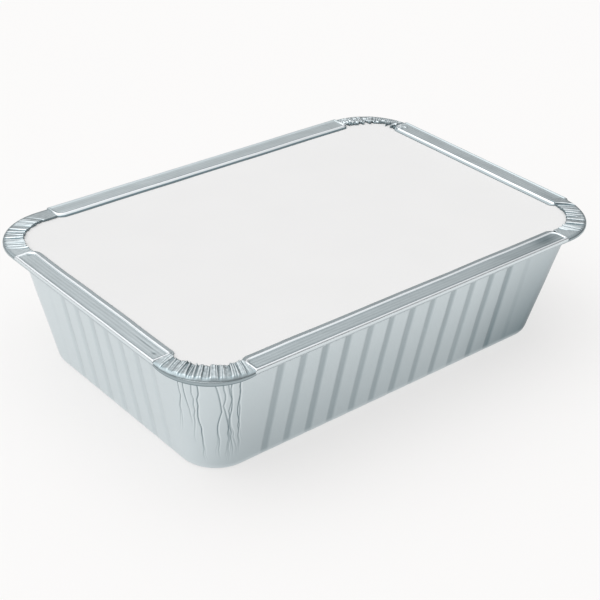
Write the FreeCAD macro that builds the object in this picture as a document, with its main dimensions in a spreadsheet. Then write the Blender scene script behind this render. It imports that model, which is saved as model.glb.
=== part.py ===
import FreeCAD
import Part
import Sketcher
import math
import os
from FreeCAD import Placement, Rotation, Vector

# Oblong takeaway tray pressed from one sheet of aluminium foil, with the white board
# lid that its folded-over rim holds down.
# Millimetres. Origin at the centre of the base, on the table; X runs along the long
# sides, Y along the short sides, +Z up.

doc = FreeCAD.newDocument("foil_food_container")
sheet = doc.addObject("Spreadsheet::Sheet", "Sizes")

SIZES = [
    # overall
    ("length", 215.0, "rim, outside, along X"),
    ("width", 147.5, "rim, outside, along Y"),
    ("height", 54.8, "base to the top of the folded rim"),
    ("foil", 0.3, "sheet thickness"),
    # tray walls
    ("rim_radius", 25.8, "plan radius of the rim corners"),
    ("ledge_width", 6.5, "rim edge to the top of the wall"),
    ("wall_lean", 10.8, "top of the wall to its foot, in plan"),
    ("foot_radius", 12.5, "plan radius of the base corners"),
    ("foot_round", 3.0, "fillet between base and wall"),
    # flutes pressed into the walls
    ("flute_width", 3.8, "at the top of the wall"),
    ("flute_depth", 0.9, "at the top of the wall"),
    ("flute_start", 3.6, "level where the flutes run out, above the base's bend"),
    ("long_flutes", 13, "on each long wall"),
    ("long_pitch", 10.95, "between flutes of a long wall"),
    ("short_flutes", 8, "on each short wall"),
    ("short_pitch", 10.0, "between flutes of a short wall"),
    # rim folded in over the lid along the straight sides
    ("fold_height", 2.4, "underside of the ledge to the top of the rim"),
    ("fold_round", 0.9, "radius of the outer fold"),
    ("fold_slope", 1.2, "plan width of the slope from the fold to the floor"),
    ("band_width", 9.4, "outer fold to the free edge"),
    ("band_sink", 0.8, "top of the rim down to the floor of the band"),
    ("bead_inset", 7.8, "outer fold to the middle of the bead"),
    ("bead_width", 1.9, "width of the bead"),
    # rim gathered into pleats at the corners
    ("gather_width", 8.6, "outer fold to the free edge"),
    ("gather_round", 0.7, "radius of the outer fold"),
    ("pleats", 12, "at each corner"),
    ("pleat_rise", 0.9, "crest height at the free edge"),
    ("pleat_share", 0.82, "part of its pitch that a pleat fills"),
    ("pleat_taper", 0.35, "size at the outer fold against the free edge"),
    # board lid
    ("lid_board", 0.6, "thickness of the board"),
    ("lid_play", 1.0, "lid edge to the upturned rim"),
    ("lid_clearance", 0.2, "lid face to the foil folded over it"),
]

for row, (alias, value, note) in enumerate(SIZES, start=1):
    sheet.set(f"A{row}", alias)
    sheet.set(f"B{row}", str(value))
    sheet.set(f"C{row}", note)
    sheet.setAlias(f"B{row}", alias)
doc.recompute()

# Half sizes and levels that several features share, as expressions on the sheet.
HALF_LENGTH = "Sizes.length / 2"
HALF_WIDTH = "Sizes.width / 2"
LEDGE = "(Sizes.height - Sizes.fold_height)"
LEDGE_TOP = f"({LEDGE} + Sizes.foil)"
STRIP_UNDER = f"({LEDGE_TOP} + Sizes.lid_board + Sizes.lid_clearance)"
STRIP_TOP = f"({STRIP_UNDER} + Sizes.foil)"
FLUTE_GAIN = f"(Sizes.flute_depth / ({LEDGE} - Sizes.flute_start))"


def origin_part(body, role):
    """Origin plane or axis of a body, in the form its features refer to."""
    return (next(f for f in body.Origin.OriginFeatures if f.Role == role), [""])


def add_sketch(body, name, role, offset=("0", "0", "0"), axis=Vector(0, 0, 1), turn="0"):
    """Empty sketch on an origin plane of its body, moved and turned by expressions."""
    sketch = body.newObject("Sketcher::SketchObject", name)
    sketch.AttachmentSupport = origin_part(body, role)
    sketch.MapMode = "FlatFace"
    sketch.AttachmentOffset = Placement(Vector(0, 0, 0), Rotation(axis, 1.0))
    for letter, expression in zip("xyz", offset):
        sketch.setExpression(f"AttachmentOffset.Base.{letter}", expression)
    sketch.setExpression("AttachmentOffset.Rotation.Angle", turn)
    return sketch


def arc_between(start, end, radius, turn):
    """Minor arc between two points; turn is 1 where it bends left, -1 where right."""
    chord = end - start
    rise = math.sqrt(max(radius**2 - (chord.Length / 2) ** 2, 0.0))
    centre = (start + end) * 0.5 + Vector(-chord.y, chord.x, 0).normalize() * rise * turn
    first, last = (start, end) if turn > 0 else (end, start)
    angles = [math.atan2(p.y - centre.y, p.x - centre.x) for p in (first, last)]
    return Part.ArcOfCircle(Part.Circle(centre, Vector(0, 0, 1), radius), *angles)


def constrain(sketch, expression, *constraint):
    """Adds a dimension to the sketch and binds it to an expression."""
    index = sketch.addConstraint(Sketcher.Constraint(*constraint))
    sketch.setExpression(f"Constraints[{index}]", expression)


def draw_outline(sketch, stations):
    """Closed outline through stations (x, y) or (x, y, radius, turn).

    The longer form bends the run to the next station. Coordinates and radii are
    expressions, and each becomes a dimension of the sketch.
    """
    points = [Vector(*(float(sketch.evalExpression(e)) for e in s[:2]), 0) for s in stations]
    following = points[1:] + points[:1]
    starts = [2 if len(s) == 4 and s[3] < 0 else 1 for s in stations]
    for station, start, end in zip(stations, points, following):
        if len(station) == 2:
            sketch.addGeometry(Part.LineSegment(start, end))
        else:
            radius = float(sketch.evalExpression(station[2]))
            sketch.addGeometry(arc_between(start, end, radius, station[3]))
    for i, station in enumerate(stations):
        after = (i + 1) % len(stations)
        join = Sketcher.Constraint("Coincident", i, 3 - starts[i], after, starts[after])
        sketch.addConstraint(join)
        constrain(sketch, station[0], "DistanceX", i, starts[i], points[i].x)
        constrain(sketch, station[1], "DistanceY", i, starts[i], points[i].y)
        if len(station) == 4:
            constrain(sketch, station[2], "Radius", i, sketch.Geometry[i].Radius)


def draw_rounded_plan(sketch, half_x, half_y, radius):
    """Rectangle with round corners about the origin, drawn anticlockwise."""
    x, y, flat_x, flat_y = half_x, half_y, f"({half_x} - {radius})", f"({half_y} - {radius})"
    draw_outline(
        sketch,
        [
            (f"-{flat_x}", f"-({y})"),
            (flat_x, f"-({y})", radius, 1),
            (x, f"-{flat_y}"),
            (x, flat_y, radius, 1),
            (flat_x, y),
            (f"-{flat_x}", y, radius, 1),
            (f"-({x})", flat_y),
            (f"-({x})", f"-{flat_y}", radius, 1),
        ],
    )


def add_pad(body, name, sketch, length, both_ways=False):
    """Pad of a sketch along its normal, or half the length to each side."""
    pad = body.newObject("PartDesign::Pad", name)
    pad.Profile = sketch
    pad.SideType = "Symmetric" if both_ways else "One side"
    pad.setExpression("Length", length)
    return pad


def add_flutes(body, side, across, count, pitch, reach, thicker):
    """Row of flutes in one wall, pressed in by blunt wedge bars that lean with it.

    across is the way out through the wall. The bars lean a little less than the wall,
    so the flutes deepen from nothing, above the base, to their full depth at the ledge.
    Bars thicker by the foil, on the same lines, shape the inside. Their flanks stand at
    45 degrees.
    """
    sign = "1" if across.x + across.y > 0 else "-1"
    along_x = across.x == 0
    middle = f"(-({count} - 1) * {pitch} / 2)"
    nose = f"(Sizes.flute_width / 2 - Sizes.flute_depth + {thicker} * tan(22.5))"
    inner = f"({reach} + Sizes.flute_start * {FLUTE_GAIN} - {thicker})"
    outer = f"({inner} + Sizes.flute_width)"
    flank = f"({nose} + Sizes.flute_width)"
    corners = [
        (f"{middle} - {nose}", f"{sign} * {inner}"),
        (f"{middle} + {nose}", f"{sign} * {inner}"),
        (f"{middle} + {flank}", f"{sign} * {outer}"),
        (f"{middle} - {flank}", f"{sign} * {outer}"),
    ]
    section = add_sketch(body, f"{body.Name}_{side}_bar_section", "XY_Plane")
    draw_outline(section, corners if along_x else [corner[::-1] for corner in corners])
    bar = body.newObject("PartDesign::Pocket", f"{body.Name}_{side}_bar")
    bar.Profile = section
    bar.setExpression("Length", f"{LEDGE} + Sizes.flute_width")
    bar.UseCustomVector = True
    bar.AlongSketchNormal = True
    bar.Direction = Vector(across.x * 0.2, across.y * 0.2, 1)
    lean = f"{sign} * (Sizes.wall_lean / {LEDGE} - {FLUTE_GAIN})"
    bar.setExpression("Direction.y" if along_x else "Direction.x", lean)
    row = body.newObject("PartDesign::LinearPattern", f"{body.Name}_{side}_flutes")
    row.Originals = [bar]
    row.Direction = origin_part(body, "X_Axis" if along_x else "Y_Axis")
    row.setExpression("Length", f"({count} - 1) * {pitch}")
    row.setExpression("Occurrences", count)
    body.Tip = row


def build_form(name, inset):
    """Solid that fills the tray up to the ledge, smaller by an inset from its outside."""
    body = doc.addObject("PartDesign::Body", name)
    foot_x = f"({HALF_LENGTH} - Sizes.ledge_width - Sizes.wall_lean - {inset})"
    foot_y = f"({HALF_WIDTH} - Sizes.ledge_width - Sizes.wall_lean - {inset})"
    foot = add_sketch(body, f"{name}_foot", "XY_Plane", ("0", "0", inset))
    draw_rounded_plan(foot, foot_x, foot_y, f"(Sizes.foot_radius - {inset})")
    walls = add_pad(body, f"{name}_walls", foot, LEDGE)
    walls.setExpression("TaperAngle", f"atan(Sizes.wall_lean / {LEDGE})")
    doc.recompute()
    low = walls.Shape.BoundBox.ZMin
    fillet = body.newObject("PartDesign::Fillet", f"{name}_foot_round")
    fillet.Base = (
        walls,
        [
            f"Edge{i}"
            for i, edge in enumerate(walls.Shape.Edges, start=1)
            if edge.BoundBox.ZMax < low + walls.Shape.BoundBox.ZLength / 2
        ],
    )
    fillet.setExpression("Radius", f"Sizes.foot_round - {inset}")
    wall_x = f"({HALF_LENGTH} - Sizes.ledge_width - Sizes.wall_lean)"
    wall_y = f"({HALF_WIDTH} - Sizes.ledge_width - Sizes.wall_lean)"
    long_row = ("Sizes.long_flutes", "Sizes.long_pitch", wall_y, inset)
    short_row = ("Sizes.short_flutes", "Sizes.short_pitch", wall_x, inset)
    add_flutes(body, "front", Vector(0, -1, 0), *long_row)
    add_flutes(body, "back", Vector(0, 1, 0), *long_row)
    add_flutes(body, "left", Vector(-1, 0, 0), *short_row)
    add_flutes(body, "right", Vector(1, 0, 0), *short_row)
    return body


def add_band(body, name, section_role, mirror_role, half_across, run):
    """Folded rim along two opposite sides: up, over and back down onto the lid."""
    edge = f"(-{half_across})"
    fold, foil, top = "Sizes.fold_round", "Sizes.foil", "Sizes.height"
    floor = f"({top} - Sizes.band_sink)"
    slope_end = f"({edge} + {fold} + Sizes.fold_slope)"
    bead_start = f"({edge} + Sizes.bead_inset - Sizes.bead_width / 2)"
    bead_end = f"({edge} + Sizes.bead_inset + Sizes.bead_width / 2)"
    bead = "((Sizes.bead_width^2 / 4 + Sizes.band_sink^2) / (2 * Sizes.band_sink))"
    hollow = f"(((Sizes.bead_width / 2 - {foil})^2 + Sizes.band_sink^2) / (2 * Sizes.band_sink))"
    free = f"({edge} + Sizes.band_width)"
    section = add_sketch(body, f"{name}_section", section_role)
    draw_outline(
        section,
        [
            (edge, LEDGE),
            (edge, f"{top} - {fold}", fold, -1),
            (f"{edge} + {fold}", top),
            (slope_end, floor),
            (bead_start, floor, bead, -1),
            (bead_end, floor),
            (bead_end, STRIP_TOP),
            (free, STRIP_TOP),
            (free, STRIP_UNDER),
            (f"{bead_end} - {foil}", STRIP_UNDER),
            (f"{bead_end} - {foil}", f"{floor} - {foil}", hollow, 1),
            (f"{bead_start} + {foil}", f"{floor} - {foil}"),
            (slope_end, f"{floor} - {foil}"),
            (f"{edge} + {fold}", f"{top} - {foil}", f"({fold} - {foil})", 1),
            (f"{edge} + {foil}", f"{top} - {fold}"),
            (f"{edge} + {foil}", LEDGE),
        ],
    )
    pad = add_pad(body, name, section, run, both_ways=True)
    mirror = body.newObject("PartDesign::Mirrored", f"{name}_opposite")
    mirror.Originals = [pad]
    mirror.MirrorPlane = origin_part(body, mirror_role)
    body.Tip = mirror


def draw_gather(sketch):
    """Section of a corner of the rim: up, over and in, with the radius along X."""
    radius, fold, foil = "Sizes.rim_radius", "Sizes.gather_round", "Sizes.foil"
    free = f"({radius} - Sizes.gather_width)"
    draw_outline(
        sketch,
        [
            (f"{radius} - {foil}", LEDGE),
            (radius, LEDGE),
            (radius, f"{STRIP_TOP} - {fold}", fold, 1),
            (f"{radius} - {fold}", STRIP_TOP),
            (free, STRIP_TOP),
            (free, STRIP_UNDER),
            (f"{radius} - {fold}", STRIP_UNDER, f"({fold} - {foil})", -1),
            (f"{radius} - {foil}", f"{STRIP_TOP} - {fold}"),
        ],
    )


def draw_pleat(sketch, scale):
    """Triangle that one pleat has across its length, standing in the gathered foil."""
    radius = "(Sizes.rim_radius - Sizes.gather_width)"
    half = f"(tan(45 / Sizes.pleats) * {radius} * Sizes.pleat_share * {scale})"
    low = f"({STRIP_TOP} - Sizes.foil / 2)"
    draw_outline(
        sketch,
        [
            (f"-{half}", low),
            (half, low),
            ("0", f"{STRIP_TOP} + Sizes.pleat_rise * {scale}"),
        ],
    )


def add_corner(body, name, sign_x, sign_y, start):
    """Corner of the rim, turned about its centre, with its fan of pleats."""
    centre_x = f"({sign_x} * ({HALF_LENGTH} - Sizes.rim_radius))"
    centre_y = f"({sign_y} * ({HALF_WIDTH} - Sizes.rim_radius))"
    upright = Vector(0, 1, 0)
    section = add_sketch(
        body, f"{name}_section", "XZ_Plane", (centre_x, "0", f"-{centre_y}"), upright, f"{start}"
    )
    draw_gather(section)
    turn = body.newObject("PartDesign::Revolution", f"{name}_gather")
    turn.Profile = section
    turn.ReferenceAxis = (section, ["V_Axis"])
    turn.Angle = 90
    first = f"({start} + 45 / Sizes.pleats)"
    ends = []
    for place_name, reach, scale in (
        ("tip", "(Sizes.rim_radius - Sizes.gather_width + Sizes.foil)", "1"),
        ("root", "(Sizes.rim_radius - 2 * Sizes.gather_round)", "Sizes.pleat_taper"),
    ):
        offset = (f"{centre_y} + {reach} * sin({first})", "0", f"{centre_x} + {reach} * cos({first})")
        sketch = add_sketch(body, f"{name}_{place_name}", "YZ_Plane", offset, upright, first)
        draw_pleat(sketch, scale)
        ends.append(sketch)
    pleat = body.newObject("PartDesign::AdditiveLoft", f"{name}_pleat")
    pleat.Profile = ends[0]
    pleat.Sections = [ends[1]]
    pleat.Ruled = True
    fan = body.newObject("PartDesign::PolarPattern", f"{name}_pleats")
    fan.Originals = [pleat]
    fan.Axis = (section, ["V_Axis"])
    fan.setExpression("Angle", "90 - 90 / Sizes.pleats")
    fan.setExpression("Occurrences", "Sizes.pleats")
    body.Tip = fan


def build_rim():
    """Ledge, still closed in the middle, with the folded bands and pleated corners."""
    body = doc.addObject("PartDesign::Body", "rim")
    outline = add_sketch(body, "ledge_outline", "XY_Plane", ("0", "0", LEDGE))
    draw_rounded_plan(outline, f"({HALF_LENGTH})", f"({HALF_WIDTH})", "Sizes.rim_radius")
    add_pad(body, "ledge", outline, "Sizes.foil")
    run_x = "Sizes.length - 2 * Sizes.rim_radius"
    run_y = "Sizes.width - 2 * Sizes.rim_radius"
    add_band(body, "long_band", "YZ_Plane", "XZ_Plane", HALF_WIDTH, run_x)
    add_band(body, "short_band", "XZ_Plane", "YZ_Plane", HALF_LENGTH, run_y)
    add_corner(body, "back_right", 1, 1, 0)
    add_corner(body, "back_left", -1, 1, 90)
    add_corner(body, "front_left", -1, -1, 180)
    add_corner(body, "front_right", 1, -1, 270)
    return body


def combine(body, name, kind, tool):
    """Joins another body to this one, or takes it away."""
    step = body.newObject("PartDesign::Boolean", name)
    step.Type = kind
    step.Group = [tool]
    body.Tip = step


def build_tray():
    """Tray: fluted walls and base with the rim, hollowed to the thickness of the foil."""
    rim = build_rim()
    inside = build_form("inside", "Sizes.foil")
    body = build_form("foil_tray", "0")
    combine(body, "with_rim", "Fuse", rim)
    combine(body, "hollowed", "Cut", inside)
    return body


def build_lid():
    """Flat board that lies on the ledge under the folded rim."""
    body = doc.addObject("PartDesign::Body", "board_lid")
    inset = "(Sizes.foil + Sizes.lid_play)"
    outline = add_sketch(body, "lid_outline", "XY_Plane", ("0", "0", LEDGE_TOP))
    draw_rounded_plan(
        outline,
        f"({HALF_LENGTH} - {inset})",
        f"({HALF_WIDTH} - {inset})",
        f"(Sizes.rim_radius - {inset})",
    )
    add_pad(body, "lid_sheet", outline, "Sizes.lid_board")
    return body


def check_document(parts):
    """Stops when a feature failed or a sub-part has no sound single solid."""
    failed = [o.Name for o in doc.Objects if {"Invalid", "Error"} & set(o.State)]
    if failed:
        raise RuntimeError(f"failed features: {failed}")
    for part in parts:
        shape = part.Shape
        if shape.isNull() or not shape.isValid() or len(shape.Solids) != 1:
            raise RuntimeError(f"unsound shape: {part.Label}")


sub_parts = [build_tray(), build_lid()]
doc.recompute()
check_document(sub_parts)
os.makedirs("parts", exist_ok=True)
for sub_part in sub_parts:
    sub_part.Shape.exportStep(f"parts/{sub_part.Label}.step")
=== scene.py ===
import math

import bpy
import numpy as np
from mathutils import Matrix


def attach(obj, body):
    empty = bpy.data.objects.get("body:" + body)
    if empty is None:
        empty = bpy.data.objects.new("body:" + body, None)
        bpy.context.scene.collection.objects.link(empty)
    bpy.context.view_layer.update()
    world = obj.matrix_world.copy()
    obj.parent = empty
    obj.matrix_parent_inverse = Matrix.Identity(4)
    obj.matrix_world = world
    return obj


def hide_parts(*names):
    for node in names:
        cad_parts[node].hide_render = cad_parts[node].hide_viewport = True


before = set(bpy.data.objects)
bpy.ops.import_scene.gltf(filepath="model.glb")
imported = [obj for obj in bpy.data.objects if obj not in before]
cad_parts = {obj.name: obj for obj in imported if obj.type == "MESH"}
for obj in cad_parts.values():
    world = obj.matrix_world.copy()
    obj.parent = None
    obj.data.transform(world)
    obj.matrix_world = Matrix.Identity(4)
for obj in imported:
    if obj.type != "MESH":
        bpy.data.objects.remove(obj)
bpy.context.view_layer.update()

# Camera: a long lens about 600 mm away, over the front corner of the tray, tilted a
# little, as in the photograph.
camera_data = bpy.data.cameras.new("camera")
camera_data.sensor_width = 36.0
camera_data.lens = 84.44
camera_data.clip_end = 20.0
camera = bpy.data.objects.new("camera", camera_data)
right = (0.76700476, -0.64078377, 0.03316412)
up = (0.30457554, 0.40908875, 0.86016286)
back = (-0.56474546, -0.64964803, 0.50894008)
place = (-0.33518, -0.38588, 0.32046)
camera.matrix_world = Matrix([[right[i], up[i], back[i], place[i]] for i in range(3)] + [[0, 0, 0, 1]])
bpy.context.collection.objects.link(camera)
bpy.context.scene.camera = camera

# Tray walls and base: one sheet of rolled aluminium foil pressed over a block. The walls
# lean out, carry a row of pressed-in flutes, and crease where the foil is drawn round
# the corners; the ledge at their top carries the lid.
#
# In millimetres: half the length and width over the rim, the height, the sheet, the level
# and width of the ledge, how far a wall leans in, and the radii of rim, foot and heel.
MM = 0.001
HALF = np.array([215.0, 147.5]) / 2
HEIGHT = 54.8
FOIL = 0.2
LEDGE = 52.4
LEDGE_WIDTH = 6.5
WALL_LEAN = 10.8
RIM_RADIUS = 25.8
FOOT_RADIUS = 15.5
FOOT_ROUND = 3.0
RIM_CENTRE = HALF - RIM_RADIUS


def girdle(long_steps, short_steps, corner_steps):
    """Columns of a surface that goes once round the tray from its front left corner.

    Each column is a share of the corner centre in x and in y and a way out. A straight
    side runs between two corner centres with one way out; a corner stays at its centre
    and turns the way out by a quarter. The last array numbers the sides 0 to 3 and the
    corners after them 4 to 7.
    """
    shares, ways, parts = [], [], []
    for side, steps in enumerate((long_steps, short_steps, long_steps, short_steps)):
        turn = side * math.pi / 2
        out = np.array([math.sin(turn), -math.cos(turn)])
        along = np.array([math.cos(turn), math.sin(turn)])
        run = np.linspace(-1, 1, steps, endpoint=False)[:, None]
        shares.append(np.round(out) + along * run)
        ways.append(np.repeat(out[None], steps, axis=0))
        parts.append(np.full(steps, side))
        angle = turn + np.linspace(-math.pi / 2, 0, corner_steps[side], endpoint=False)
        shares.append(np.repeat(np.round(out + along)[None], len(angle), axis=0))
        ways.append(np.stack([np.cos(angle), np.sin(angle)], axis=1))
        parts.append(np.full(len(angle), side + 4))
    return np.concatenate(shares), np.concatenate(ways), np.concatenate(parts)


def ripple(along, up_wall, seed, count, longest, shortest, lap):
    """Uneven buckling of thin sheet: a sum of sine waves of random way and phase.

    The waves along the sheet fit a whole number of times into one lap, so it closes.
    """
    draw = np.random.default_rng(seed)
    total = np.zeros(np.broadcast(along, up_wall).shape)
    for _ in range(count):
        size = math.exp(draw.uniform(math.log(shortest), math.log(longest)))
        lean = draw.uniform(0, math.pi)
        laps = round(lap / size * math.cos(lean))
        rate = 2 * math.pi / size * math.sin(lean)
        wave = np.sin(2 * math.pi * laps * along / lap + rate * up_wall + draw.uniform(0, 7))
        total += wave * size / longest
    return total / math.sqrt(count)


# half width of a flute, width of its edge, and how far a row is off its wall's middle
FLUTE_HALF = 2.1
FLUTE_EDGE = 1.2
ROW_SHIFT = 0.75


def flutes(along, height, count, pitch, first, last, seed):
    """Row of flutes, 0 between them and 1 along their middles.

    The section is a smooth step at each edge; each flute wanders a little off its spot.
    The first and the last of the row are pressed in only by a share of the others.
    """
    draw = np.random.default_rng(seed)
    pressed = draw.uniform(0.85, 1.0, count)
    pressed[[0, -1]] *= (first, last)
    total = np.zeros(np.broadcast(along, height).shape)
    for number, share in enumerate(pressed):
        spot = (number - (count - 1) / 2) * pitch + ROW_SHIFT
        drift = spot + draw.uniform(-0.3, 0.3) + 0.4 * draw.uniform(-1, 1) * height
        half = FLUTE_HALF * draw.uniform(0.93, 1.07)
        edge = np.clip((half - np.abs(along - drift)) / FLUTE_EDGE, 0, 1)
        total += edge * edge * (3 - 2 * edge) * share
    return total


# half width of a crease, the number of its bends, and how far a fork runs off
CREASE_HALF = 0.36
CREASE_KNOTS = 19
FORK_REACH = 5.0


def creases(turned, height, spots, seed):
    """Fine drawn lines down a corner, 0 beside them and 1 along their middles.

    A line goes down from the rim in short straight runs, each with a slant of its own,
    with a weaker fork beside it, and fades out at a level of its own.
    """
    draw = np.random.default_rng(seed)
    total = np.zeros(np.broadcast(turned, height).shape)
    knots = np.linspace(0, 1, CREASE_KNOTS)
    for spot in spots:
        path = spot + np.cumsum(draw.uniform(-0.8, 0.8, len(knots)))[::-1]
        path += spot - path[-1]
        forked = np.clip(draw.uniform(0.3, 0.8) - knots, 0, 1)
        fork = path + forked * draw.choice([-FORK_REACH, FORK_REACH])
        reach = draw.uniform(0.05, 0.5)
        for line, strength in ((path, 1.0), (fork, 0.6)):
            away = np.abs(turned - np.interp(height, knots, line))
            fade = np.clip((height - reach) / 0.3, 0, 1) * strength * draw.uniform(0.35, 1.0)
            total = np.maximum(total, np.clip(1 - away / CREASE_HALF, 0, 1) * fade)
    return total


def closed_sheet(name, rows, shadow=None):
    """Mesh of a surface given as rows of points that close round.

    The first and the last row are each drawn together into one point, so a sheet that
    starts and ends on its axis has no hole. The shadow is kept with the points.
    """
    count, around = rows.shape[:2]
    points = np.concatenate([rows[:1, 0], rows[1:-1].reshape(-1, 3), rows[-1:, 0]]) * MM
    ring = np.arange(around)
    after = np.roll(ring, -1)
    first = 1 + np.arange(count - 3)[:, None] * around
    quads = np.stack(
        [first + ring, first + after, first + around + after, first + around + ring], axis=-1
    ).reshape(-1, 4)
    last = 1 + (count - 3) * around
    start = np.stack([np.zeros_like(ring), 1 + after, 1 + ring], axis=1)
    finish = np.stack([last + ring, last + after, np.full_like(ring, len(points) - 1)], axis=1)
    mesh = bpy.data.meshes.new(name)
    mesh.from_pydata(points.tolist(), [], start.tolist() + quads.tolist() + finish.tolist())
    mesh.shade_smooth()
    if shadow is not None:
        kept = np.concatenate([shadow[:1, 0], shadow[1:-1].ravel(), shadow[-1:, 0]])
        mesh.attributes.new("shadow", "FLOAT", "POINT").data.foreach_set("value", kept)
    return mesh


def dress(mesh, material):
    """Object of a finished mesh, linked to the scene with its material."""
    piece = bpy.data.objects.new(mesh.name, mesh)
    bpy.context.collection.objects.link(piece)
    mesh.materials.append(material)
    return piece


def noise_on(material, scale, detail):
    """Cloudy noise in the piece's own space, so the pattern stays on the piece."""
    nodes, links = material.node_tree.nodes, material.node_tree.links
    place_on = nodes.new("ShaderNodeTexCoord")
    noise = nodes.new("ShaderNodeTexNoise")
    noise.inputs["Scale"].default_value = scale
    noise.inputs["Detail"].default_value = detail
    links.new(place_on.outputs["Object"], noise.inputs["Vector"])
    return noise


def mixed_to(material, colour, factor):
    """Mix that goes by the factor from its first input, which is set later, to the colour."""
    mix = material.node_tree.nodes.new("ShaderNodeMix")
    mix.data_type = "RGBA"
    mix.inputs["B"].default_value = colour
    material.node_tree.links.new(factor, mix.inputs["Factor"])
    return mix


def bumped(material, noise, strength, depth):
    """Fine relief of a surface: the noise is its height, up to the depth in metres."""
    nodes, links = material.node_tree.nodes, material.node_tree.links
    relief = nodes.new("ShaderNodeBump")
    relief.inputs["Strength"].default_value = strength
    relief.inputs["Distance"].default_value = depth
    links.new(noise.outputs["Fac"], relief.inputs["Height"])
    links.new(relief.outputs["Normal"], nodes["Principled BSDF"].inputs["Normal"])


def foil_finish():
    """Rolled aluminium foil: satin metal with soft crinkles.

    The shadow kept with the points says how far the tone goes to a dark painted shade, in
    folds and hollows, or, below zero, to a pale painted highlight on ridges and crests.
    """
    material = bpy.data.materials.new("rolled_foil")
    material.use_nodes = True
    nodes, links = material.node_tree.nodes, material.node_tree.links
    shader = nodes["Principled BSDF"]
    shader.inputs["Metallic"].default_value = 1.0
    painted_light = nodes.new("ShaderNodeAttribute")
    painted_light.attribute_name = "shadow"
    highlight_share = nodes.new("ShaderNodeMath")
    highlight_share.operation = "MULTIPLY"
    highlight_share.inputs[1].default_value = -1.0
    links.new(painted_light.outputs["Fac"], highlight_share.inputs[0])
    cloud = noise_on(material, 90.0, 4.0)
    plain = mixed_to(material, (0.75, 0.815, 0.84, 1), cloud.outputs["Fac"])
    plain.inputs["A"].default_value = (0.68, 0.755, 0.78, 1)
    # painted highlight: below zero the shadow takes the tone toward this pale colour
    painted_highlight = mixed_to(material, (0.93, 0.97, 1.0, 1), highlight_share.outputs["Value"])
    links.new(plain.outputs["Result"], painted_highlight.inputs["A"])
    # painted shade: above zero the shadow takes the tone toward this dark colour
    tone = mixed_to(material, (0.08, 0.14, 0.165, 1), painted_light.outputs["Fac"])
    links.new(painted_highlight.outputs["Result"], tone.inputs["A"])
    links.new(tone.outputs["Result"], shader.inputs["Base Color"])
    gloss = nodes.new("ShaderNodeMapRange")
    gloss.inputs["To Min"].default_value = 0.26
    gloss.inputs["To Max"].default_value = 0.4
    links.new(cloud.outputs["Fac"], gloss.inputs["Value"])
    links.new(gloss.outputs["Result"], shader.inputs["Roughness"])
    crinkle = noise_on(material, 260.0, 5.0)
    crinkle.inputs["Roughness"].default_value = 0.6
    bumped(material, crinkle, 0.5, 0.00006)
    return material


def tray_stations():
    """Stations of the sheet from the middle of its underside out, up, in and back down.

    Each is a gap in from the rim's outline, a corner radius, a level and a scale that
    draws the base together to its middle. The radius of the wall's corners runs evenly
    from base to ledge, and is less by as much as a station lies in from the wall.
    """
    lean = math.atan2(WALL_LEAN, LEDGE)
    heel = FOOT_ROUND * (1 - math.sin(lean)) / math.cos(lean)
    bend = []
    for turned in np.linspace(0, math.pi / 2 - lean, 6):
        bend.append((heel - FOOT_ROUND * math.sin(turned), FOOT_ROUND * (1 - math.cos(turned))))
    outside = [(LEDGE_WIDTH + WALL_LEAN + drawn, level, 1.0) for drawn, level in bend]
    for level in np.linspace(bend[-1][1], LEDGE, 50)[1:]:
        outside.append((LEDGE_WIDTH + WALL_LEAN * (1 - level / LEDGE), level, 1.0))
    # the inside, under the lid, follows the outside with fewer stations
    fewer = outside[:5:-6] + outside[5::-2]
    inside = [(gap + FOIL, level + FOIL, scale) for gap, level, scale in fewer]
    base = [(outside[0][0], 0.0, scale) for scale in (0.0, 0.5, 0.97)]
    ledge = [(gap, LEDGE, 1.0) for gap in (4.0, 2.0, 0.2)] + [(0.2, LEDGE + FOIL, 1.0)]
    back = [(inside[-1][0], FOIL, scale) for scale in (0.6, 0.0)]
    gap, level, scale = np.array(base + outside + ledge + inside + back).T
    share = np.clip(level / LEDGE, 0, 1)
    wall_gap = LEDGE_WIDTH + WALL_LEAN * (1 - share)
    wall_radius = FOOT_RADIUS + (RIM_RADIUS - LEDGE_WIDTH - FOOT_RADIUS) * share
    return gap, wall_radius + wall_gap - gap, level, scale


foil = foil_finish()
shares, ways, parts = girdle(260, 150, (60, 50, 60, 150))
gap, radius, level, scale = tray_stations()
centre = (HALF - (gap + radius)[:, None]) * scale[:, None]
height = np.clip(level / LEDGE, 0, 1)[:, None]
on_wall = (np.clip(level / 3.5, 0, 1) * (gap > LEDGE_WIDTH - 0.1))[:, None]
lap_length = 2 * (HALF.sum() * 2 - 4 * RIM_RADIUS) + 2 * math.pi * RIM_RADIUS
lap_place = np.linspace(0, lap_length, len(shares), endpoint=False)
buckling = ripple(
    lap_place[None], level[:, None], seed=8, count=26, longest=42, shortest=9, lap=lap_length
)
press = 0.1 * buckling * np.sin(height * math.pi)

# painted shade: all walls a little darker, the long walls darker still toward their foot
shadow = 0.04 + 0.32 * ways[None, :, 1] ** 2 * (1 - height)

# count, spacing, shares of the first and of the last, and strength of the painted shade in a wall's
# flutes
LONG_ROW = (13, 10.87, 1, 0.2, 0.32)
SHORT_ROW = (8, 10.0, 0.6, 0.2, 0.12)
for side, (count, pitch, first, last, dark) in enumerate((LONG_ROW, SHORT_ROW) * 2):
    mine = parts == side
    run = shares[mine, side % 2][None] * centre[:, side % 2][:, None]
    pressed = flutes(run, height, count, pitch, first, last, side + 3)
    press[:, mine] -= pressed * (0.3 + 0.2 * height)
    # painted shade along the middle of each flute, stronger higher up
    shadow[:, mine] += pressed * dark * (0.75 + 0.5 * height)

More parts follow.
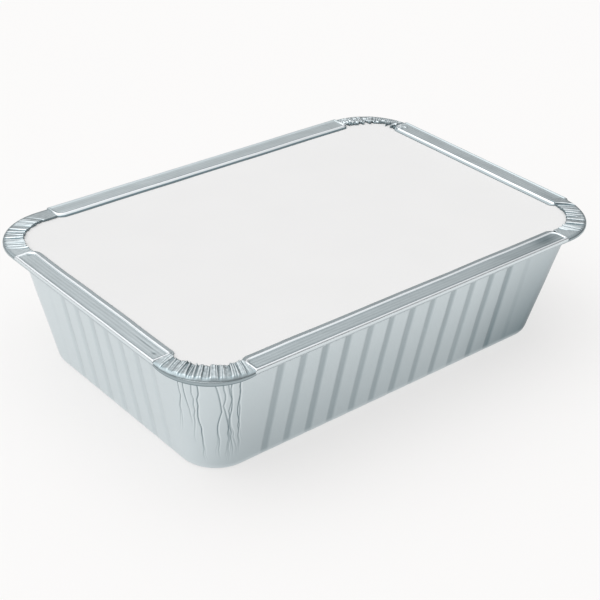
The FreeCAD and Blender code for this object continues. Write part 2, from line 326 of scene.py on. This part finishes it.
# where a corner's creases leave the rim, in millimetres round it, and how strong they are
FRONT_SPOTS = (4.7, 6.7, 10.5, 11.6, 19.5, 21, 22.3, 24, 27.7, 29)
CREASED = (((8, 15, 21), 0.25), ((6, 14, 24), 0.25), ((9, 17, 23), 0.25), (FRONT_SPOTS, 1.0))
for corner, (spots, strength) in enumerate(CREASED):
    mine = parts == corner + 4
    turned = np.linspace(0, 30, mine.sum())[None]
    drawn = creases(turned, height, spots, corner + 20) * strength
    press[:, mine] -= drawn * 0.2
    # painted shade along each crease, and a painted highlight a little to one side of it
    shadow[:, mine] += drawn * 1.05 - 0.45 * np.roll(drawn, 3, axis=1)

# painted shade: the foil is darkest round the right corner, and dark along the right wall to its end
toward_right = shares[:, 0] * 0.8 + ways[:, 0] - ways[:, 1]
right_shade = np.clip((toward_right - 1.35) / 0.7, 0, 1) * (ways[:, 1] < 0.1)
shadow += 0.75 * right_shade * (1 - 0.6 * height)
press *= on_wall
shadow *= on_wall

plan = shares[None] * centre[:, None] + ways[None] * (radius * scale)[:, None, None]
plan = plan + ways[None] * press[..., None]
levels = np.broadcast_to(level[:, None, None], plan.shape[:2] + (1,))
walls = dress(closed_sheet("tray_walls", np.concatenate([plan, levels], axis=2), shadow), foil)
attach(walls, "root")
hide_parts("foil_tray")

# Folded bands of the rim: along each straight side the foil is turned up at the edge of
# the ledge and folded in over the lid. A thin ridge borders the sunken floor of a band,
# outside along the fold, inside as a bead, and across its ends.
#
# The level of the floor, the way in and height of the outer ridge, the length of a band's
# ends, the lap that its ripples fit, its sheet, and the level of the lid's top.
FLOOR = LEDGE + 1.78
RIDGE_OUT = 0.75
RIDGE_TALL = 0.4
BAND_END = 9.0
BAND_LAP = 400.0
BAND_SHEET = 0.16
LID_TOP = LEDGE + 0.9


def open_sheet(name, blocks, thickness):
    """Mesh of open grids of points and shadows, given a thickness on their inner side."""
    points, shadows, faces, start = [], [], [], 0
    for block, dark in blocks:
        number = start + np.arange(dark.size).reshape(dark.shape)
        faces.append(
            np.stack([number[:-1, :-1], number[:-1, 1:], number[1:, 1:], number[1:, :-1]], axis=-1)
            .reshape(-1, 4)
        )
        points.append(block.reshape(-1, 3) * MM)
        shadows.append(dark.ravel())
        start += dark.size
    mesh = bpy.data.meshes.new(name)
    mesh.from_pydata(np.concatenate(points).tolist(), [], np.concatenate(faces).tolist())
    mesh.shade_smooth()
    kept = np.concatenate(shadows)
    mesh.attributes.new("shadow", "FLOAT", "POINT").data.foreach_set("value", kept)
    piece = dress(mesh, foil)
    sheet = piece.modifiers.new("sheet", "SOLIDIFY")
    sheet.thickness = thickness * MM
    sheet.offset = -1
    return piece


# section of the outer fold: way in from the edge, height over the ledge, and painted shade, below zero
# a painted highlight
FOLD = np.array([
    (1.4, 0.05, 0.5), (0.5, 0.02, 0.5), (0.16, 0.2, 0.45), (0.1, 0.5, 0.2), (0.1, 1.3, -0.2),
    (0.16, 1.7, -0.3), (0.3, 1.94, -0.8), (0.5, 2.1, -1.0),
])
# ways in of a band's stations: the fold, the ridge, the floor, the bead and the free edge
ACROSS = np.concatenate([
    FOLD[:, 0], np.linspace(0.75, 1.6, 7), np.linspace(1.75, 6.6, 14), np.linspace(6.8, 9.2, 20),
    (9.5, 9.8, 10.0, 10.08, 10.12, 10.12),
])[:, None]
# the last stations are the free edge: each goes down to the lid by its share
EDGE_DROPS = ((-3, 0.15), (-2, 0.6), (-1, 1.0))


def band_run(start, finish):
    """Stations along a band, close together at its ends and even between them."""
    ends = np.concatenate([np.linspace(0, 5, 26), np.linspace(5, BAND_END, 6)[1:]])
    length = finish - start - 2 * BAND_END
    middle = np.linspace(start + BAND_END, finish - BAND_END, round(length / 1.3))
    return np.concatenate([start + ends, middle[1:-1], finish - ends[::-1]])[None]


def border_distance(nearer, bead_line, corner_round):
    """Signed distance from the border of a band's floor: positive outside, negative inside.

    The border is a rectangle with rounded corners. Outside it is the straight line to the
    rounded corner, inside the larger of the gaps to a side and to an end.
    """
    middle_line = (bead_line + RIDGE_OUT) / 2
    side_gap = np.abs(ACROSS - middle_line) - (bead_line - RIDGE_OUT) / 2
    end_gap = 0.7 - nearer
    rounded = np.where(ACROSS > middle_line, corner_round, 0.3)
    outside = np.hypot(np.maximum(side_gap + rounded, 0), np.maximum(end_gap + rounded, 0))
    return outside + np.minimum(np.maximum(side_gap + rounded, end_gap + rounded), 0) - rounded


def dents(run, marks):
    """Depth of a band's dents: a sum of smooth hollows, each with two half sizes."""
    depth = np.zeros(np.broadcast(run, ACROSS).shape)
    for along, inward, long, wide, deep in marks:
        depth += deep * np.exp(-(((run - along) / long) ** 2) - ((ACROSS - inward) / wide) ** 2)
    return depth


def band_plan(side, run, nearer, corner_round, seed):
    """Places of a band's points in plan: along its side, and in from the rim's outline.

    The free edge sways a little, and is tucked back by a square law at rounded ends.
    """
    wander = ripple(run, 0 * ACROSS, seed, count=10, longest=60, shortest=12, lap=BAND_LAP)
    sway = 0.12 * wander * np.clip(ACROSS / 5, 0.4, 1)
    tuck = np.clip(1 - nearer / (corner_round + 1.0), 0, 1) ** 2 * np.clip(ACROSS - 8, 0, 2.1) * 0.9
    turn = side * math.pi / 2
    out = np.array([math.sin(turn), -math.cos(turn)])
    onward = np.array([math.cos(turn), math.sin(turn)])
    reach = HALF[(side + 1) % 2] - ACROSS - sway + tuck
    return onward * run[..., None] + out * reach[..., None]


def band_block(side, start, finish, corner_rounds, bead, glint, strip, dark, marks, seed):
    """Points and shadows of the band along one side, from start to finish.

    The height over the floor is a ridge about the floor's border, highest on the border
    and gone at a half width from it. The bead is the ridge's inner line: its way in, its
    half width and its height. The glint is the painted highlight of the ridge outside and
    at the bead, and the strip the slope of the foil beyond the bead and the painted shade
    on it. Dark is the painted shade of the band's floor.
    """
    bead_line, half_width, bead_tall = bead
    run = band_run(start, finish)
    nearer = np.minimum(run - start, finish - run)
    corner_round = np.where(run < (start + finish) / 2, *corner_rounds)
    distance = border_distance(nearer, bead_line, corner_round)
    ridge = np.clip(1 - (distance / half_width) ** 2, 0, 1) ** 1.5
    inner = ACROSS > (bead_line + RIDGE_OUT) / 2
    bright = np.where(inner, glint[1], glint[0])
    wander = ripple(run, ACROSS * 3, seed, count=12, longest=40, shortest=8, lap=BAND_LAP)
    streaks = np.sin(ACROSS * 4.3 + 0.7 * np.sin(run / 21 + seed)) * np.clip(-distance, 0, 1)
    dented = dents(run, marks)

    surface = FLOOR + np.where(inner, bead_tall, RIDGE_TALL) * ridge + 0.05 * wander + 0.02 * streaks
    surface += np.clip(ACROSS - bead_line, 0, 3) * strip[0] - 0.25 * dented
    surface[: len(FOLD)] = LEDGE + FOLD[:, 1:2]
    for row, drop in EDGE_DROPS:
        surface[row] = surface[-4] + (LID_TOP + 0.02 - surface[-4]) * drop
    low = LEDGE + 0.95
    sink = np.sqrt(1 - np.clip(1 - nearer / 0.55, 0, 1) ** 2)
    surface = np.where(surface > low, low + (surface - low) * sink, surface)

    # painted shade and highlight: a darker floor, a dark line at the foot of a bright bead, shade
    # beyond the bead and in the dents, a highlight on the ridges and the fold, and shade on the free
    # edge
    shadows = np.where(distance < 0, dark, dark * 0.5) + 0.06 * streaks
    shadows += 0.3 * np.exp(-(((distance + half_width + 0.15) / 0.22) ** 2)) * (bright > 0.5)
    shadows += strip[1] * np.clip((ACROSS - bead_line - half_width) / 0.3, 0, 1)
    shadows += dented - (bright + 0.3) * np.clip(2 * ridge, 0, 1)
    shadows[: len(FOLD)] = np.where(FOLD[:, 2:] < 0, glint[0], 1) * FOLD[:, 2:]
    shadows[-len(EDGE_DROPS) :] = 0.65

    plan = band_plan(side, run, nearer, corner_round, seed + 1)
    points = np.concatenate([plan, np.minimum(surface, HEIGHT)[..., None]], axis=2)
    return points, np.clip(shadows, -1, 0.9)


# a mark is a dent with painted shade in it: its place along and across, its two half sizes and its
# depth, which also sets the shade
bands = [
    band_block(
        0, -82.4, 80.0, corner_rounds=(2.4, 2.6), bead=(7.8, 0.68, 0.32), glint=(1.0, 1.3),
        strip=(-0.08, 0.25), dark=0.26,
        marks=[(71.5, 5.2, 6.5, 3.0, 0.45), (55.0, 4.0, 14.0, 3.0, 0.15)], seed=31,
    ),
    band_block(
        1, -49.4, 51.0, corner_rounds=(1.2, 2.6), bead=(8.4, 0.6, 0.4), glint=(-0.45, 1.0),
        strip=(-0.3, 0.3), dark=0.13, marks=[(-42.0, 4.5, 9.0, 3.0, 0.2)], seed=32,
    ),
    band_block(
        2, -81.8, 76.2, corner_rounds=(1.2, 3.2), bead=(8.4, 0.75, 0.35), glint=(-0.35, 1.0),
        strip=(-0.3, 0.9), dark=0.1, marks=[], seed=33,
    ),
    band_block(
        3, -45.6, 47.9, corner_rounds=(3.0, 0.5), bead=(7.9, 0.6, 0.5), glint=(1.0, 1.0),
        strip=(-0.08, 0.2), dark=0.13,
        marks=[(-43.2, 5.4, 0.8, 0.7, 0.45), (43.3, 3.9, 0.8, 0.6, 0.5), (36.5, 5.2, 5.5, 0.24, 0.5)],
        seed=34,
    ),
]
rim_bands = open_sheet("rim_bands", bands, BAND_SHEET)
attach(rim_bands, "root")
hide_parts("foil_tray")

# Gathered corners of the rim: the same foil folded in round each corner, where there is
# too much of it, so it is laid in sharp uneven pleats from the outer fold to the free
# edge over the lid.
#
# The sheet, and a section: way in from the rim's outline, height over the ledge.
GATHER_SHEET = 0.12
GATHER_SECTION = np.array([
    (1.2, 0.05), (0.5, 0.02), (0.16, 0.15), (0.1, 0.4), (0.12, 1.0), (0.35, 1.32), (0.8, 1.4),
    (1.3, 1.3), (8.6, 1.35),
])


def rounded_run(corners, count, softness):
    """Even points along a broken line whose bends are softened.

    The line is sampled evenly, and each sample is averaged with its neighbours within
    the softness, in millimetres, so the bends become smooth curves.
    """
    steps = np.hypot(*np.diff(corners, axis=0).T)
    reach = np.concatenate([[0], np.cumsum(steps)])
    spots = np.linspace(0, reach[-1], count)
    offsets = np.linspace(-softness, softness, 9)
    near = np.clip(spots[:, None] + offsets, 0, reach[-1])
    return np.stack([np.interp(near, reach, corners[:, k]).mean(axis=1) for k in (0, 1)], axis=1)


def laid_pleats(sweep, inward, seed, count, spread, crisp):
    """Height of pleats laid over one another, 0 to 1, over the sweep of a corner.

    Between folds the foil is a flat facet, tilted by its own rise; at a fold it steps
    down to the next facet. The folds lie closer to parallel than to the radii by the
    spread, and each is slanted a little by itself.
    """
    draw = np.random.default_rng(seed)
    gaps = draw.uniform(0.5, 1.6, count)
    folds = (np.cumsum(gaps) - gaps / 2) / gaps.sum()
    slants = draw.uniform(-0.35, 0.35, count) / count
    high, low = draw.uniform(0.45, 1.0, count), draw.uniform(0.0, 0.4, count)
    swap = draw.random(count) < 0.35
    high, low = np.where(swap, low, high), np.where(swap, high, low)
    field = np.zeros(np.broadcast(sweep, inward).shape)
    for row, deep in enumerate(inward[:, 0]):
        place = 0.5 + (folds - 0.5) * (1 + spread * (deep - 1)) + slants * (deep - 0.5)
        knots = np.stack([place - crisp, place + crisp], axis=1).ravel()
        field[row] = np.interp(sweep[0], knots, np.stack([high, low], axis=1).ravel())
    return field


def facets(x, y, seed, count, longest, shortest):
    """Crumpled surface: a sum of triangular waves of random way, size and phase."""
    draw = np.random.default_rng(seed)
    total = np.zeros(np.broadcast(x, y).shape)
    for _ in range(count):
        size = math.exp(draw.uniform(math.log(shortest), math.log(longest)))
        way = draw.uniform(0, 2 * math.pi)
        phase = (x * math.cos(way) + y * math.sin(way)) / size + draw.uniform(0, 1)
        total += (np.abs(phase % 1 - 0.5) * 4 - 1) * size / longest
    return total / math.sqrt(count)


def gather_plan(corner, place, out):
    """Places in plan of points that lie a way out from a corner's centre.

    Round the corner they are on circles; past its two ends they run on straight.
    """
    arc = RIM_RADIUS * math.pi / 2
    angle = corner * math.pi / 2 - math.pi / 2 + np.clip(place / arc, 0, 1) * math.pi / 2
    past = place - np.clip(place, 0, arc)
    sign_x = 1 if corner in (0, 1) else -1
    sign_y = 1 if corner in (1, 2) else -1
    x = sign_x * RIM_CENTRE[0] + out * np.cos(angle) - np.sin(angle) * past
    y = sign_y * RIM_CENTRE[1] + out * np.sin(angle) + np.cos(angle) * past
    return x, y


def sagging(sweep, across, level, droop):
    """How far a gathered corner hangs, most in its middle and not at all at its ends.

    The top of the fold hangs by half the droop, less and less to 1.3 mm in. Its underside
    hangs by the other half as well.
    """
    hang = droop * np.sin(np.clip(sweep, 0, 1) * math.pi) ** 0.6
    under = np.clip((LEDGE + 1.3 - level) / 0.9, 0, 1) * (across < 1.5)
    return hang * (0.5 * np.clip((1.3 - across) / 0.9, 0, 1) + 0.5 * under)


def fold_shadows(top, step):
    """Painted shade of pleats: dark where they are steep or hollow, and a painted highlight, below
    zero, on their crests.

    Slope and bend are the first and the second change of height along the rim.
    """
    slope = np.abs(np.gradient(top, axis=1) / step)
    bent = np.gradient(np.gradient(top, axis=1), axis=1) / step**2
    return 0.62 * np.clip((slope - 0.5) / 1.1, 0, 1) + 0.5 * np.clip(bent / 1.5, -1.2, 1)


def gather_block(corner, beyond, count, spread, rise, crush, ragged, contrast, overall_shade, droop, seed):
    """Points and shadows of one gathered corner, from its outer fold to its free edge.

    Beyond says how far it runs on, in millimetres, past the two ends of the corner. Rise
    is the height of the pleats, crush that of the crumpling over them, and ragged how far
    the free edge is uneven. Contrast says how dark the painted shade in the folds and how
    bright the painted highlight on the crests are, the argument after it how dark the
    painted shade over the rest is, and droop how far the outer fold hangs.
    """
    section = rounded_run(GATHER_SECTION, 44, 0.2)
    section = np.concatenate([section, [(section[-1, 0] + 0.05, 0.9)]])
    across, level = section[:, 0][:, None], LEDGE + section[:, 1][:, None]
    arc = RIM_RADIUS * math.pi / 2
    place = np.linspace(-beyond[0], arc + beyond[1], 250)[None]
    sweep = place / arc
    inward = np.clip((across - 0.9) / 7.7, 0, 1)
    grown = np.clip((across - 0.35) / 1.0, 0, 1) * (0.45 + 0.55 * inward)
    fall = laid_pleats(sweep, inward, seed, count, spread, 0.0075)
    fall = fall + 0.35 * laid_pleats(sweep, inward, seed + 1, count * 2, spread, 0.005)
    tips = np.linspace(-0.2, 1.2, count * 4)
    teeth = np.interp(sweep, tips, np.random.default_rng(seed + 2).uniform(-1, 1, len(tips)))
    across = across + (teeth - 0.6) * ragged * inward**2
    out = RIM_RADIUS - across
    x, y = gather_plan(corner, place, out)
    crumpled = facets(x, y, seed + 9, count=16, longest=4.5, shortest=0.9)
    lift = rise * fall * grown + crush * crumpled * grown
    top = np.minimum(level + np.maximum(lift, 0), HEIGHT) - sagging(sweep, across, level, droop)
    top[-1] = np.minimum(top[-1], LID_TOP + 0.04)

    step = out[:, :1] / RIM_RADIUS * (place[0, 1] - place[0, 0])
    over_ledge = level - LEDGE
    # painted shade in the pleats' folds and a painted highlight on their crests; painted shade in two
    # thin lines along the outer fold, over the outer roll, all over, and on the free edge
    shadows = fold_shadows(top, step) * contrast * np.clip((across - 0.2) / 0.6, 0, 1)
    shadows += 0.6 * np.clip(1 - np.abs(over_ledge - 0.25) / 0.2, 0, 1)
    shadows += 0.3 * np.clip((1.8 - across) / 0.6, 0, 1) + overall_shade
    shadows += 0.3 * np.clip(1 - np.abs(over_ledge - 0.95) / 0.12, 0, 1) * (across < 1)
    shadows = np.clip(shadows, -1, 0.9)
    shadows[-2:] = 0.75
    return np.stack([x, y, top], axis=2), shadows


gathers = [
    gather_block(
        0, beyond=(2.0, 1.4), count=9, spread=0.25, rise=1.1, crush=0.04, ragged=0.3,
        contrast=2.8, overall_shade=0.2, droop=0.2, seed=75,
    ),
    gather_block(
        1, beyond=(1.4, 1.4), count=13, spread=0.0, rise=0.85, crush=0.6, ragged=1.9,
        contrast=1.2, overall_shade=0.08, droop=0.0, seed=72,
    ),
    gather_block(
        2, beyond=(5.6, 2.6), count=13, spread=0.25, rise=0.85, crush=0.06, ragged=0.25,
        contrast=1.4, overall_shade=0.16, droop=0.3, seed=73,
    ),
    gather_block(
        3, beyond=(1.0, 1.0), count=14, spread=0.1, rise=0.8, crush=0.12, ragged=0.5,
        contrast=0.9, overall_shade=0.22, droop=1.7, seed=74,
    ),
]
rim_gathers = open_sheet("rim_gathers", gathers, GATHER_SHEET)
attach(rim_gathers, "root")
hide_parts("foil_tray")

# Lid: one flat sheet of white board with round corners, laid on the ledge and held down
# by the folded rim.
#
# Its thickness, the level of its underside, the radius of its corners, and the small
# height of its rounded edge and of its bow.
LID_THICK = 0.6
LID_LOW = LID_TOP - LID_THICK
LID_RADIUS = RIM_RADIUS - 1.3
LID_EDGE = 0.1
LID_BOW = 0.1


def board_finish():
    """Uncoated white board: matt, with a faint cloudy tone and a fine fibrous tooth."""
    material = bpy.data.materials.new("white_board")
    material.use_nodes = True
    nodes, links = material.node_tree.nodes, material.node_tree.links
    shader = nodes["Principled BSDF"]
    shader.inputs["Roughness"].default_value = 0.72
    shader.inputs["Specular IOR Level"].default_value = 0.3
    cloud = noise_on(material, 35.0, 6.0)
    white = mixed_to(material, (0.83, 0.827, 0.825, 1), cloud.outputs["Fac"])
    white.inputs["A"].default_value = (0.8, 0.797, 0.795, 1)
    links.new(white.outputs["Result"], shader.inputs["Base Color"])
    tooth = noise_on(material, 1800.0, 3.0)
    bumped(material, tooth, 0.25, 0.00005)
    return material


def lid_rows():
    """Points of the lid from the middle of its underside out round its edge and back.

    The board bows by a small smooth hump between its held edges.
    """
    shares, ways, _ = girdle(60, 40, (20, 20, 20, 20))
    out = [(share, LID_LOW) for share in (0, 0.3, 0.6, 0.9, 0.995)]
    edge = [(1.0, LID_LOW + LID_EDGE), (1.0, LID_LOW + LID_THICK - LID_EDGE)]
    back = (0.998, 0.97, 0.9, 0.8, 0.7, 0.6, 0.5, 0.4, 0.3, 0.2, 0.1, 0)
    top = [(share, LID_LOW + LID_THICK) for share in back]
    rows = []
    for share, level in out + edge + top:
        plan = (shares * RIM_CENTRE + ways * LID_RADIUS) * share
        bow = 0.0
        if level > LID_LOW + LID_THICK / 2:
            bow = LID_BOW * (1 - share**2)
        rows.append(np.column_stack([plan, np.full(len(plan), level + bow)]))
    return np.stack(rows)


lid = dress(closed_sheet("lid_board", lid_rows()), board_finish())
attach(lid, "root")
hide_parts("board_lid")

# Floor: a plain white sheet under the tray. Seen directly or in the foil it is lifted part
# of the way to white; the rest of it takes the light and keeps the shadow.
floor_mesh = bpy.data.meshes.new("floor")
floor_mesh.from_pydata([(-4, -4, 0), (4, -4, 0), (4, 4, 0), (-4, 4, 0)], [], [(0, 1, 2, 3)])
paper = bpy.data.materials.new("floor_paper")
paper.use_nodes = True
nodes, links = paper.node_tree.nodes, paper.node_tree.links
nodes["Principled BSDF"].inputs["Base Color"].default_value = (0.92, 0.913, 0.908, 1)
nodes["Principled BSDF"].inputs["Roughness"].default_value = 1.0
nodes["Principled BSDF"].inputs["Specular IOR Level"].default_value = 0.0
white = nodes.new("ShaderNodeEmission")
white.inputs["Color"].default_value = (0.972, 0.962, 0.956, 1)
ray = nodes.new("ShaderNodeLightPath")
seen = ray.outputs["Is Camera Ray"]
for kind in ("Is Glossy Ray", "Is Transmission Ray"):
    either = nodes.new("ShaderNodeMath")
    either.operation = "ADD"
    links.new(seen, either.inputs[0])
    links.new(ray.outputs[kind], either.inputs[1])
    seen = either.outputs["Value"]
lifted = nodes.new("ShaderNodeMath")
lifted.operation = "MULTIPLY"
lifted.inputs[1].default_value = 0.65
blend = nodes.new("ShaderNodeMixShader")
links.new(seen, lifted.inputs[0])
links.new(lifted.outputs["Value"], blend.inputs["Fac"])
links.new(nodes["Principled BSDF"].outputs["BSDF"], blend.inputs[1])
links.new(white.outputs["Emission"], blend.inputs[2])
links.new(blend.outputs["Shader"], nodes["Material Output"].inputs["Surface"])
floor = dress(floor_mesh, paper)

# Studio light: a pale surround, brighter overhead and to the left, and a weak broad lamp.
world = bpy.data.worlds.new("surround")
world.use_nodes = True
nodes, links = world.node_tree.nodes, world.node_tree.links
toward = nodes.new("ShaderNodeTexCoord")
overhead = nodes.new("ShaderNodeVectorMath")
overhead.operation = "DOT_PRODUCT"
overhead.inputs[1].default_value = (0, 0, 1)
steep = nodes.new("ShaderNodeMath")
steep.operation = "POWER"
steep.use_clamp = True
steep.inputs[1].default_value = 1.5
rise = nodes.new("ShaderNodeMapRange")
rise.inputs["To Min"].default_value = 0.2
rise.inputs["To Max"].default_value = 1.5
sideways = nodes.new("ShaderNodeVectorMath")
sideways.operation = "DOT_PRODUCT"
sideways.inputs[1].default_value = (0.767, -0.641, 0)
fall_off = nodes.new("ShaderNodeMapRange")
fall_off.inputs["From Min"].default_value = -1.0
fall_off.inputs["To Min"].default_value = 1.4
fall_off.inputs["To Max"].default_value = 0.6
product = nodes.new("ShaderNodeMath")
product.operation = "MULTIPLY"
links.new(toward.outputs["Generated"], overhead.inputs[0])
links.new(toward.outputs["Generated"], sideways.inputs[0])
links.new(overhead.outputs["Value"], steep.inputs[0])
links.new(steep.outputs["Value"], rise.inputs["Value"])
links.new(sideways.outputs["Value"], fall_off.inputs["Value"])
links.new(rise.outputs["Result"], product.inputs[0])
links.new(fall_off.outputs["Result"], product.inputs[1])
links.new(product.outputs["Value"], nodes["Background"].inputs["Strength"])
nodes["Background"].inputs["Color"].default_value = (1, 1, 1, 1)
bpy.context.scene.world = world
lamp_data = bpy.data.lights.new("soft_lamp", "SUN")
lamp_data.energy = 0.45
lamp_data.angle = math.radians(60)
lamp = bpy.data.objects.new("soft_lamp", lamp_data)
lamp.rotation_euler = (math.radians(-10), math.radians(-40), 0)
bpy.context.collection.objects.link(lamp)

bpy.context.scene.view_settings.view_transform = "Standard"
